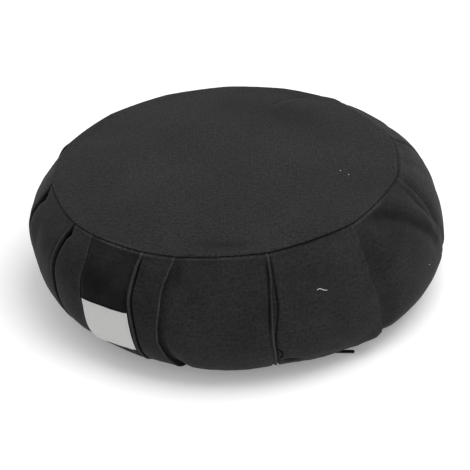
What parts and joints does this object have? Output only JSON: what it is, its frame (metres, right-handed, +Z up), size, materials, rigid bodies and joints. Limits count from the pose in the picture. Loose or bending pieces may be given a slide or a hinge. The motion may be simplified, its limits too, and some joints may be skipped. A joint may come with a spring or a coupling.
{
  "type": "meditation cushion",
  "caption": "Round filled floor cushion: a knife-pleated cloth side between a domed round top panel and a flat base panel, with a blank label and a zip pull.",
  "frame": {"origin": "middle of the flat base, on the surface the cushion rests on", "axes": "+Z up through the top panel, -Y to the front with the label at its left, +X to the right"},
  "size_m": [0.3777, 0.3761, 0.1244],
  "materials": {
    "band_cloth": "matte woven cotton",
    "panel_cloth": "matte woven cotton",
    "label_cloth": "plain woven ribbon",
    "zip_enamel": "satin black enamel"
  },
  "bodies": {
    "root": {"pleated_body": "band_cloth", "top_panel": "panel_cloth", "base_panel": "panel_cloth", "label": "label_cloth", "zip_pull": "zip_enamel"}
  },
  "joints": []
}
